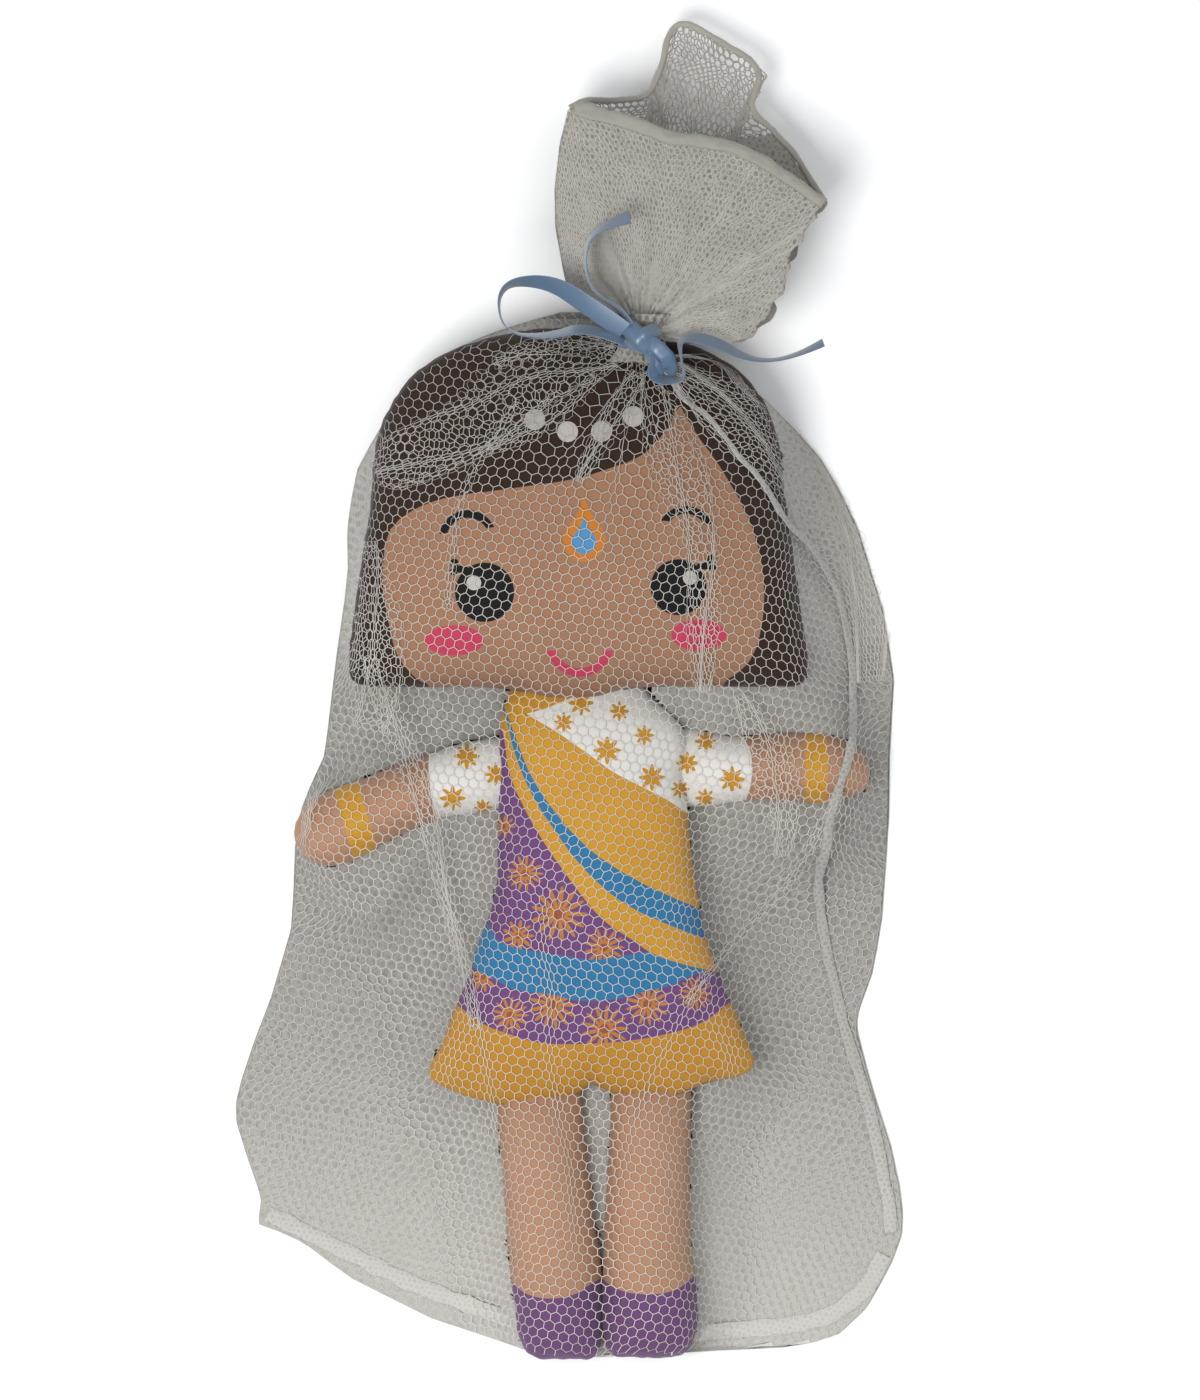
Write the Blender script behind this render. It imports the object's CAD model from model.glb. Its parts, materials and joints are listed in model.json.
# %% [markdown]
# # A printed rag doll in a tied net bag
# The doll is stuffed and soft, and lies on its back inside a bag of hexagonal net.
# A narrow satin ribbon draws the net together above its head. The lesson builds the
# light first, then the ribbon, the stuffed pieces, their print, and last the net.

# %% Load the frame
import json
import math

import bmesh
import bpy
import numpy as np
from mathutils import Matrix, Vector, noise
from mathutils.bvhtree import BVHTree


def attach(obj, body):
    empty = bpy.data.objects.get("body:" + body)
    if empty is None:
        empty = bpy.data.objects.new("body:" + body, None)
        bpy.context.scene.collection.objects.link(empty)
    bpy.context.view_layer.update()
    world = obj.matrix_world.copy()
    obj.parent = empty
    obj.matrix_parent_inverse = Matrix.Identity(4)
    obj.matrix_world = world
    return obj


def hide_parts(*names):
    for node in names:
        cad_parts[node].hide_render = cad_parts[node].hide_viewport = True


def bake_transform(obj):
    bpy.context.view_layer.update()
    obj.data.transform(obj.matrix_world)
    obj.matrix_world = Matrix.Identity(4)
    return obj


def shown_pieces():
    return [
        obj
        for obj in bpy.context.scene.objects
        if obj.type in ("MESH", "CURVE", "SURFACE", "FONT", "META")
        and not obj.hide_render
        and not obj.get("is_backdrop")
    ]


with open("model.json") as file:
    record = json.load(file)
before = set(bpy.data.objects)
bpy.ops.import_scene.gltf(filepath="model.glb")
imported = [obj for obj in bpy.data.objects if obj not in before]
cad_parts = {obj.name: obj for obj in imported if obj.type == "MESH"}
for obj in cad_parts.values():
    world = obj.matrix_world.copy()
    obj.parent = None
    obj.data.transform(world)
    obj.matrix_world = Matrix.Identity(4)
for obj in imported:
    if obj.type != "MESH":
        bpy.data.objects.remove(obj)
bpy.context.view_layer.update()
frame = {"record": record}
MM = 0.001

# %% [markdown]
# ## Floor, light and camera
# The doll is seen from straight above, so the camera looks down. A long lens from far
# away keeps the round head from looking larger than the flat bag under it. One large
# soft light stands to the upper left and a weaker one fills from the right.

# %% Floor, light and camera
scene = bpy.context.scene
scene.view_settings.view_transform = "Standard"
scene.view_settings.look = "None"


def plain_material(name, colour, roughness):
    """One even finish, for the floor."""
    material = bpy.data.materials.new(name)
    material.use_nodes = True
    shader = material.node_tree.nodes["Principled BSDF"]
    shader.inputs["Base Color"].default_value = (*colour, 1.0)
    shader.inputs["Roughness"].default_value = roughness
    return material


def finish_mesh(bm, name, material, smooth=True):
    """Turn a bmesh into an object at the origin, with one material."""
    mesh = bpy.data.meshes.new(name)
    bm.to_mesh(mesh)
    bm.free()
    mesh.materials.append(material)
    piece = bpy.data.objects.new(name, mesh)
    scene.collection.objects.link(piece)
    for face in mesh.polygons:
        face.use_smooth = smooth
    return piece


floor_bm = bmesh.new()
bmesh.ops.create_grid(floor_bm, x_segments=1, y_segments=1, size=1.5)
floor = finish_mesh(floor_bm, "floor", plain_material("pale floor", (0.95, 0.95, 0.95), 0.9))
floor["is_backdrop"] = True

world = bpy.data.worlds.new("studio")
world.use_nodes = True
world.node_tree.nodes["Background"].inputs["Color"].default_value = (0.95, 0.97, 1.0, 1.0)
world.node_tree.nodes["Background"].inputs["Strength"].default_value = 0.5
scene.world = world


def soft_light(name, place, size, watts):
    lamp = bpy.data.lights.new(name, "AREA")
    lamp.shape = "SQUARE"
    lamp.size = size
    lamp.energy = watts
    holder = bpy.data.objects.new(name, lamp)
    scene.collection.objects.link(holder)
    holder.location = place
    holder.rotation_euler = (-Vector(place)).to_track_quat("-Z", "Y").to_euler()
    return holder


soft_light("window", (-0.42, -0.34, 1.2), 0.55, 12.4)
soft_light("fill", (0.4, 0.35, 1.5), 1.0, 4.5)

CAMERA_HEIGHT = 2.6
FRAME_WIDTH = 0.360
SENSOR_WIDTH = 36.0
DOLL_MIDDLE = 0.02
camera_data = bpy.data.cameras.new("camera")
camera_data.sensor_fit = "HORIZONTAL"
camera_data.sensor_width = SENSOR_WIDTH
camera_data.lens = SENSOR_WIDTH * (CAMERA_HEIGHT - DOLL_MIDDLE) / FRAME_WIDTH
camera = bpy.data.objects.new("camera", camera_data)
camera.location = (0.00945, -0.00315, CAMERA_HEIGHT)
scene.collection.objects.link(camera)
scene.camera = camera
print("lens %.0f mm at %.1f m" % (camera_data.lens, CAMERA_HEIGHT))

# %% [markdown]
# ## Colours
# The cloth colours are written as they look on a screen, from 0 to 255, because that is
# how a maker picks them. Shaders want light, not screen values, so one helper converts.

# %% Screen colours to light


def screen(red, green, blue):
    """A colour as seen on a screen, turned into the light values that shaders use."""
    values = []
    for part in (red, green, blue):
        value = part / 255.0
        values.append(value / 12.92 if value <= 0.04045 else ((value + 0.055) / 1.055) ** 2.4)
    return (*values, 1.0)


FACE_SKIN = screen(148, 109, 83)
SKIN = screen(166, 126, 99)
HAIR = screen(44, 27, 18)
MUSTARD = screen(188, 137, 40)
HEM_MUSTARD = screen(176, 125, 36)
BLUE = screen(40, 108, 150)
PURPLE = screen(102, 62, 112)
SHOE = screen(101, 65, 108)
BLOUSE = screen(208, 206, 200)
FLOWER = screen(172, 112, 50)
SMALL_FLOWER = screen(184, 132, 36)
PEARL = screen(176, 172, 166)
PINK = screen(180, 54, 82)
NET_WHITE = screen(194, 190, 182)
RIBBON_BLUE = screen(80, 105, 130)
print("skin as light:", [round(value, 3) for value in SKIN])

# %% [markdown]
# ## A small kit for drawing with shader nodes
# Everything printed on the doll is a flat shape: discs, rings, a drop, flowers and
# regions with a curved edge. Each is a few math nodes on the piece's own coordinates in
# millimetres.

# %% The drawing kit


class Drawing:
    """Adds math nodes to one material and remembers its x, y and z in millimetres."""

    def __init__(self, name, roughness=0.85, sheen=0.15):
        self.material = bpy.data.materials.new(name)
        self.material.use_nodes = True
        self.nodes = self.material.node_tree.nodes
        self.links = self.material.node_tree.links
        self.shader = self.nodes["Principled BSDF"]
        self.shader.inputs["Roughness"].default_value = roughness
        self.shader.inputs["Sheen Weight"].default_value = sheen
        self.shader.inputs["Specular IOR Level"].default_value = 0.25
        self.place = self.nodes.new("ShaderNodeTexCoord").outputs["Object"]
        scaled = self.nodes.new("ShaderNodeVectorMath")
        scaled.operation = "SCALE"
        scaled.inputs["Scale"].default_value = 1000.0
        self.links.new(self.place, scaled.inputs[0])
        self.mm = scaled.outputs[0]
        split = self.nodes.new("ShaderNodeSeparateXYZ")
        self.links.new(self.mm, split.inputs[0])
        self.x, self.y, self.z = split.outputs

    def put(self, socket, value):
        if isinstance(value, bpy.types.NodeSocket):
            self.links.new(value, socket)
        else:
            socket.default_value = value

    def math(self, operation, *values):
        node = self.nodes.new("ShaderNodeMath")
        node.operation = operation
        for socket, value in zip(node.inputs, values):
            self.put(socket, value)
        return node.outputs[0]

    def less(self, a, b):
        return self.math("LESS_THAN", a, b)

    def more(self, a, b):
        return self.math("GREATER_THAN", a, b)

    def both(self, first, *others):
        for other in others:
            first = self.math("MULTIPLY", first, other)
        return first

    def either(self, first, *others):
        for other in others:
            first = self.math("MAXIMUM", first, other)
        return first

    def outside(self, mask):
        return self.math("SUBTRACT", 1.0, mask)

    def edge(self, along, points):
        """A hand-drawn edge: the height of a curve through points given in millimetres."""
        low_x, high_x = points[0][0], points[-1][0]
        low_y = min(y for _, y in points)
        high_y = max(y for _, y in points)
        span_x, span_y = high_x - low_x, high_y - low_y
        node = self.nodes.new("ShaderNodeFloatCurve")
        curve = node.mapping.curves[0]
        for i, (x, y) in enumerate(points):
            place = ((x - low_x) / span_x, (y - low_y) / span_y)
            if i == 0:
                curve.points[0].location = place
            elif i == len(points) - 1:
                curve.points[len(curve.points) - 1].location = place
            else:
                curve.points.new(*place)
        node.mapping.update()
        scaled = self.math("MULTIPLY_ADD", along, 1.0 / span_x, -low_x / span_x)
        self.put(node.inputs["Value"], self.math("MINIMUM", self.math("MAXIMUM", scaled, 0.0),
                                                 1.0))
        return self.math("MULTIPLY_ADD", node.outputs[0], span_y, low_y)

    def away(self, x, y, wide=1.0, high=1.0):
        """Distance from a point, counted in widths and heights."""
        moved = self.nodes.new("ShaderNodeVectorMath")
        moved.operation = "SUBTRACT"
        self.links.new(self.mm, moved.inputs[0])
        moved.inputs[1].default_value = (x, y, 0.0)
        shaped = self.nodes.new("ShaderNodeVectorMath")
        shaped.operation = "MULTIPLY"
        self.links.new(moved.outputs[0], shaped.inputs[0])
        shaped.inputs[1].default_value = (1.0 / wide, 1.0 / high, 0.0)
        length = self.nodes.new("ShaderNodeVectorMath")
        length.operation = "LENGTH"
        self.links.new(shaped.outputs[0], length.inputs[0])
        return length.outputs["Value"]

    def disc(self, x, y, wide, high=None):
        return self.less(self.away(x, y, wide, high or wide), 1.0)

    def ring(self, x, y, radius, thick):
        gap = self.math("ABSOLUTE", self.math("SUBTRACT", self.away(x, y), radius))
        return self.less(gap, thick / 2)

    def daisy(self, x, y, radius, petals=9, turn=0.0, dip=0.48):
        """Petals whose tips fall where a wave round the centre is high."""
        around = self.math(
            "ARCTAN2", self.math("SUBTRACT", self.y, y), self.math("SUBTRACT", self.x, x)
        )
        wave = self.math("COSINE", self.math("MULTIPLY_ADD", around, float(petals), turn))
        tip = self.math("MULTIPLY_ADD", wave, 0.5 * dip * radius, (1 - 0.5 * dip) * radius)
        return self.less(self.away(x, y), tip)

    def paint(self, colour, mask, over):
        mix = self.nodes.new("ShaderNodeMix")
        mix.data_type = "RGBA"
        self.put(mix.inputs["Factor"], mask)
        self.put(mix.inputs["A"], over)
        self.put(mix.inputs["B"], colour)
        return mix.outputs["Result"]

    def noise(self, scale, detail=3.0, rough=0.6, stretch=None):
        node = self.nodes.new("ShaderNodeTexNoise")
        node.inputs["Scale"].default_value = scale
        node.inputs["Detail"].default_value = detail
        node.inputs["Roughness"].default_value = rough
        source = self.mm
        if stretch:
            mapping = self.nodes.new("ShaderNodeMapping")
            mapping.inputs["Scale"].default_value = stretch
            self.links.new(self.mm, mapping.inputs["Vector"])
            source = mapping.outputs[0]
        self.links.new(source, node.inputs["Vector"])
        return node.outputs["Fac"]

    def toned(self, colour, shade):
        """A colour made lighter or darker by a shade round one."""
        scaled = self.nodes.new("ShaderNodeVectorMath")
        scaled.operation = "SCALE"
        self.put(scaled.inputs[0], colour)
        self.put(scaled.inputs["Scale"], shade)
        return scaled.outputs[0]

    def bumped(self, height, strength, distance):
        """Raise the surface where height is high; distance is in metres."""
        bump = self.nodes.new("ShaderNodeBump")
        bump.inputs["Strength"].default_value = strength
        bump.inputs["Distance"].default_value = distance
        self.links.new(height, bump.inputs["Height"])
        self.links.new(bump.outputs[0], self.shader.inputs["Normal"])

    def lit(self, colour, points):
        """The colour made lighter or darker along y, through points of y and gain."""
        return self.toned(colour, self.edge(self.y, points))

    def cloth(self, colour, weave=0.55, depth=0.12, fade=0.12):
        """Weave, lint and uneven dye over a colour, and the colour into the shader."""
        warp = self.nodes.new("ShaderNodeTexWave")
        warp.bands_direction = "X"
        weft = self.nodes.new("ShaderNodeTexWave")
        weft.bands_direction = "Y"
        for wave in (warp, weft):
            wave.inputs["Scale"].default_value = 1.0 / weave / 3.2
            wave.inputs["Distortion"].default_value = 0.6
            wave.inputs["Detail"].default_value = 1.0
            self.links.new(self.mm, wave.inputs["Vector"])
        threads = self.math("MULTIPLY", warp.outputs["Fac"], weft.outputs["Fac"])
        dye = self.math("MULTIPLY_ADD", self.noise(0.06, 4.0), fade, 1.0 - fade / 2)
        lint = self.math("MULTIPLY_ADD", self.noise(1.6, 2.0), 0.10, 0.95)
        shade = self.math("MULTIPLY", self.math("MULTIPLY", dye, lint),
                          self.math("MULTIPLY_ADD", threads, 0.10, 0.95))
        self.links.new(self.toned(colour, shade), self.shader.inputs["Base Color"])
        grain = self.math("ADD", threads, self.math("MULTIPLY", self.noise(2.2, 2.0), 0.6))
        self.bumped(grain, depth, 0.2 * MM)
        rough = self.math("MULTIPLY_ADD", self.noise(0.8, 2.0), 0.16, 0.76)
        self.links.new(rough, self.shader.inputs["Roughness"])
        return self.material


print("drawing kit ready")

# %% [markdown]
# ## The satin ribbon
# A ribbon is a cord that happens to be flat. Each stretch is one smooth curve with an
# extrusion of half the ribbon's width, and the tilt at each point turns it between flat
# and edge on, which is what makes a bow look alive.

# %% Satin


def satin(name, colour, roughness=0.34):
    drawing = Drawing(name, roughness, 0.35)
    threads = drawing.noise(3.0, 2.0, 0.5, stretch=(0.25, 2.2, 2.2))
    shade = drawing.math("MULTIPLY_ADD", threads, 0.35, 0.82)
    drawing.links.new(drawing.toned(colour[:3], shade), drawing.shader.inputs["Base Color"])
    drawing.bumped(threads, 0.25, 0.1 * MM)
    drawing.shader.inputs["Specular IOR Level"].default_value = 0.7
    drawing.shader.inputs["Anisotropic"].default_value = 0.4
    return drawing.material


ribbon_satin = satin("blue satin", RIBBON_BLUE)
RIBBON_WIDTH = 6.5 * MM
RIBBON_BODY = 0.16 * MM
RIBBON_Z = 46.5


def ribbon_strip(name, route):
    """One smooth flat strip: route holds x, y, z in mm and a tilt in degrees."""
    data = bpy.data.curves.new(name, "CURVE")
    data.dimensions = "3D"
    data.twist_mode = "Z_UP"
    data.extrude = RIBBON_WIDTH / 2 - RIBBON_BODY
    data.bevel_depth = RIBBON_BODY
    data.bevel_resolution = 2
    data.resolution_u = 16
    spline = data.splines.new("NURBS")
    spline.points.add(len(route) - 1)
    for point, (x, y, z, tilt) in zip(spline.points, route):
        point.co = (x * MM, y * MM, z * MM, 1.0)
        point.tilt = math.radians(tilt)
    spline.order_u = 3
    spline.use_endpoint_u = True
    data.materials.append(ribbon_satin)
    strip = bpy.data.objects.new(name, data)
    scene.collection.objects.link(strip)
    return strip


# %% Loop and tails
left_loop = ribbon_strip("bow_left_loop", [
    (16.7, 106.4, RIBBON_Z, 60), (6.0, 114.0, RIBBON_Z + 1, 62),
    (-6.0, 121.6, RIBBON_Z, 40), (-21.0, 120.6, RIBBON_Z, 8),
    (-20.0, 106.0, RIBBON_Z - 1, 0), (-6.0, 104.6, RIBBON_Z - 1, 20),
    (6.0, 108.2, RIBBON_Z, 30), (16.7, 103.4, RIBBON_Z, 30),
])
left_tail = ribbon_strip("bow_left_tail", [
    (18.6, 108.15, RIBBON_Z, 14), (16.6, 112.4, RIBBON_Z, 12),
    (7.2, 117.6, RIBBON_Z + 1, 4), (4.6, 127.0, RIBBON_Z, 4),
    (7.0, 137.2, RIBBON_Z - 1, 14), (18.4, 140.2, RIBBON_Z, 40),
])
right_strip = ribbon_strip("bow_right_strip", [
    (26.05, 102.8, RIBBON_Z, 60), (27.4, 98.4, RIBBON_Z, 55),
    (24.8, 92.2, RIBBON_Z, 40), (35.0, 91.4, RIBBON_Z, 10),
    (33.4, 98.4, RIBBON_Z, 0), (33.0, 105.0, RIBBON_Z, 20),
    (43.0, 103.6, RIBBON_Z, 40), (54.0, 97.6, RIBBON_Z - 1, 14),
    (66.0, 98.0, RIBBON_Z - 1, 8), (75.8, 103.0, RIBBON_Z, 22),
])
for strip, node in (
    (left_loop, "ribbon_left_loop"),
    (left_tail, "ribbon_left_tail"),
    (right_strip, "ribbon_right"),
):
    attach(strip, "tie")
    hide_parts(node)
print("ribbon %.1f mm wide" % (RIBBON_WIDTH / MM))

# %% [markdown]
# ## Stuffed pieces
# Each limb, the trunk and the head are two layers of cloth sewn round the edge and
# filled with fibre. A ball whose rows are pulled out to the piece's own sections gives a
# closed skin with a row of corners right along the seam. Subdivision makes it smooth,
# and small moves of its corners add the puckers that stitching pulls into the cloth.

# %% Rows of a ball pulled out to sections
AROUND = 64


def pulled_ball(rows, fullness):
    """rows: centre x, y, z, half width, half thickness and turn in the plane, in mm."""
    bm = bmesh.new()
    bmesh.ops.create_uvsphere(bm, u_segments=AROUND, v_segments=len(rows) + 1, radius=1.0)
    for corner in bm.verts:
        level = math.acos(max(-1.0, min(1.0, corner.co.z))) / math.pi * (len(rows) + 1)
        row = int(round(level)) - 1
        if row < 0 or row >= len(rows):
            end = rows[0] if row < 0 else rows[-1]
            corner.co = Vector(end[:3])
            continue
        x, y, z, half_width, half_thick, turn = rows[row]
        angle = math.atan2(corner.co.y, corner.co.x)
        across = math.cos(angle) * half_width
        up = math.copysign(abs(math.sin(angle)) ** fullness, math.sin(angle)) * half_thick
        corner.co = Vector((x + across * math.cos(turn), y + across * math.sin(turn), z + up))
    bmesh.ops.recalc_face_normals(bm, faces=bm.faces)
    bmesh.ops.subdivide_edges(
        bm, edges=bm.edges, cuts=1, use_grid_fill=True, smooth=0.0
    )
    bmesh.ops.smooth_vert(bm, verts=bm.verts, factor=0.35, use_axis_x=True, use_axis_y=True,
                          use_axis_z=True)
    return bm


def lying(rows, middle):
    """Rows given as y, left, right and half thickness, for pieces that run along Y."""
    return [
        ((left + right) / 2, y, middle, (right - left) / 2, thick, 0.0)
        for y, left, right, thick in rows
    ]


def reaching(rows, middle):
    """Rows given as x, y, half width and half thickness, for the arms."""
    found = []
    for i, (x, y, half_width, thick) in enumerate(rows):
        before = rows[max(i - 1, 0)]
        after = rows[min(i + 1, len(rows) - 1)]
        along = math.atan2(after[1] - before[1], after[0] - before[0])
        found.append((x, y, middle, half_width, thick, along + math.pi / 2))
    return found


# %% Puckers and lumps


def quilt(bm, middle, lumps, pucker, seed):
    """Soft lumps of fibre all over, and short puckers beside the seam."""
    bm.normal_update()
    moves = []
    for corner in bm.verts:
        place = corner.co
        lump = noise.noise(Vector((place.x / 17, place.y / 17, place.z / 17 + seed)))
        height = abs(place.z - middle)
        near = math.exp(-((height / 5.0) ** 2))
        ripple = noise.noise(Vector((place.x / 2.6, place.y / 2.6, seed * 3.1)))
        moves.append(corner.normal * (lumps * lump * (1 - near) + pucker * ripple * near))
    for corner, move in zip(bm.verts, moves):
        corner.co += move


HEAD_MID, TORSO_MID, ARM_MID, LEG_MID = 22.5, 17.5, 13.0, 13.5

HEAD_ROWS = [
    (108.5, -3, 9, 0.9), (108.0, -10, 15.5, 2.2), (107.0, -16.5, 22.5, 3.8),
    (105.0, -25.5, 31.5, 5.8),
    (102.4, -33.5, 39.5, 7.8), (98.0, -42.2, 48.2, 10.2), (93.0, -48.0, 54.0, 12.6),
    (87.0, -52.4, 58.2, 15.0), (81.0, -55.4, 61.2, 17.0), (74.0, -57.8, 63.2, 18.8),
    (66.0, -58.6, 64.0, 20.3), (58.0, -59.2, 65.0, 21.2), (50.0, -60.2, 66.1, 21.5),
    (41.0, -61.6, 67.4, 21.4), (32.0, -63.0, 68.6, 20.8), (24.0, -64.2, 69.7, 19.6),
    (17.0, -65.2, 70.8, 17.8), (11.5, -65.7, 71.5, 15.4), (7.4, -65.8, 71.7, 12.8),
    (4.6, -65.5, 71.5, 10.0), (2.7, -64.8, 70.8, 7.2), (1.5, -63.4, 69.6, 4.4),
    (0.9, -61.0, 67.5, 1.6),
]
TORSO_ROWS = [
    (7.0, -9, 15, 2.5), (4.0, -14.5, 20.5, 5.0), (0.0, -17.6, 23.8, 7.4), (-4.0, -19.2, 27.4, 9.2),
    (-8.0, -20.2, 31.2, 10.6), (-12.0, -20.8, 34.6, 11.8), (-18.0, -20.8, 36.0, 13.4),
    (-24.0, -20.6, 34.6, 14.6), (-31.0, -21.0, 35.4, 15.4), (-38.0, -21.3, 35.9, 16.0),
    (-46.0, -21.3, 36.4, 16.3), (-54.0, -21.4, 37.4, 16.4), (-61.0, -21.9, 38.8, 16.4),
    (-67.0, -23.4, 39.6, 16.2), (-73.0, -26.0, 40.6, 15.9), (-79.0, -28.2, 42.6, 15.5),
    (-85.0, -29.6, 45.0, 14.9), (-91.0, -32.0, 47.2, 14.2), (-97.0, -34.6, 50.2, 13.0),
    (-103.0, -36.9, 52.6, 11.4), (-108.0, -39.0, 54.4, 9.6), (-112.0, -40.8, 55.2, 7.8),
    (-115.5, -42.0, 55.6, 5.8), (-118.2, -41.8, 55.0, 3.8), (-120.0, -40.2, 53.4, 1.6),
]
LEFT_LEG_ROWS = [
    (-111.0, -16, 0, 2.0), (-115.0, -20, 3, 4.0), (-119.0, -21.4, 3.8, 5.8),
    (-124.0, -21.9, 4.0, 7.8),
    (-130.0, -21.2, 4.5, 9.8), (-137.0, -20.6, 5.2, 11.2), (-146.0, -19.9, 6.4, 12.1),
    (-156.0, -19.2, 7.6, 12.5), (-166.0, -18.4, 8.9, 12.6), (-175.0, -17.5, 9.8, 12.6),
    (-183.0, -16.6, 10.0, 12.4), (-189.0, -15.9, 10.0, 11.8), (-193.5, -15.2, 10.0, 10.6),
    (-197.0, -14.0, 9.7, 8.6), (-199.3, -12.4, 9.0, 6.2), (-200.8, -10.2, 7.8, 3.6),
    (-201.4, -7.8, 6.0, 1.3),
]
RIGHT_LEG_ROWS = [
    (-111.0, 15, 33, 2.0), (-115.0, 13, 36, 4.0), (-119.0, 12.6, 36.6, 5.8),
    (-124.0, 12.5, 36.8, 7.8),
    (-130.0, 12.5, 36.6, 9.8), (-137.0, 12.3, 36.4, 11.2), (-146.0, 11.6, 36.4, 12.1),
    (-156.0, 10.9, 36.6, 12.5), (-166.0, 10.5, 37.0, 12.7), (-174.0, 10.2, 37.6, 12.8),
    (-181.0, 10.1, 38.6, 12.5), (-187.0, 10.1, 38.9, 12.0), (-192.0, 10.2, 38.7, 11.0),
    (-196.0, 10.7, 37.6, 9.2), (-198.8, 11.8, 35.8, 6.6), (-200.3, 13.4, 33.8, 3.8),
    (-200.9, 15.4, 31.4, 1.4),
]
LEFT_ARM_ROWS = [
    (-11.0, -24.4, 7.0, 3.0), (-15.0, -24.6, 9.4, 5.8), (-20.0, -25.0, 10.6, 8.2),
    (-26.0, -25.9, 11.0, 9.8),
    (-32.0, -27.0, 10.6, 10.6), (-37.0, -28.2, 10.0, 10.8), (-41.0, -29.4, 9.5, 10.6),
    (-46.0, -31.2, 9.7, 10.7), (-52.0, -33.6, 9.9, 10.9), (-58.0, -36.2, 10.2, 11.0),
    (-64.0, -38.9, 10.7, 11.0), (-69.0, -41.3, 11.1, 10.6), (-73.4, -43.3, 10.6, 9.8),
    (-76.8, -44.8, 9.0, 8.4), (-79.4, -45.9, 6.8, 6.2), (-80.9, -46.5, 4.2, 3.6),
    (-81.5, -46.8, 2.0, 1.3),
]
RIGHT_ARM_ROWS = [
    (24.0, -24.0, 8.0, 3.0), (29.0, -23.6, 11.0, 6.0), (35.0, -23.6, 11.8, 8.6),
    (41.0, -23.9, 11.3, 10.0),
    (47.0, -24.0, 10.3, 10.7), (52.5, -23.8, 9.6, 10.7), (58.0, -23.4, 9.9, 10.9),
    (65.0, -23.2, 10.3, 11.0), (72.0, -23.3, 10.6, 11.0), (78.0, -23.9, 10.2, 10.5),
    (82.6, -24.8, 9.0, 9.4), (86.0, -25.6, 7.2, 7.6), (88.4, -26.2, 5.2, 5.4),
    (89.8, -26.5, 3.4, 3.2),
    (90.4, -26.7, 1.6, 1.2),
]
SKIRT_TURN, SKIRT_FOOT = -104.0, -120.0
# the waved lower edge of the skirt, from its left corner to its right
HEM_EDGE = [
    (-43, -116.5), (-40, -118.5), (-32, -121.8), (-23.6, -124.0), (-14, -124.6), (-5.6, -123.6),
    (2, -121.4), (7.7, -118.0), (12.8, -120.9), (22, -121.8), (33, -121.6), (38.5, -119.2),
    (43.4, -116.8), (50, -116.6), (56, -114.5),
]


def wave_the_hem(bm):
    """Stretch the foot of the skirt so that its edge follows the waved hem."""
    xs = [x for x, _ in HEM_EDGE]
    ys = [y for _, y in HEM_EDGE]
    for corner in bm.verts:
        if corner.co.y < SKIRT_TURN:
            target = float(np.interp(corner.co.x, xs, ys))
            stretch = (target - SKIRT_TURN) / (SKIRT_FOOT - SKIRT_TURN)
            corner.co.y = SKIRT_TURN + (corner.co.y - SKIRT_TURN) * stretch


def push_the_chin(bm):
    """The face bulges a little over the neck."""
    for corner in bm.verts:
        place = corner.co
        near = math.exp(-(((place.x - 1.0) / 13.0) ** 4)) * max(0.0,
                                                            1.0 - max(place.y, 0.0) / 14.0)
        place.y -= 4.0 * near


# %% [markdown]
# ## The print
# The face, hair, sari and flowers are printed on the cloth before it is sewn, so they are
# one drawing per piece, read from the piece's own coordinates. Regions are bounded by
# hand-drawn edges, and the small figures are discs, rings and petals.

# %% Face and hair


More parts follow.
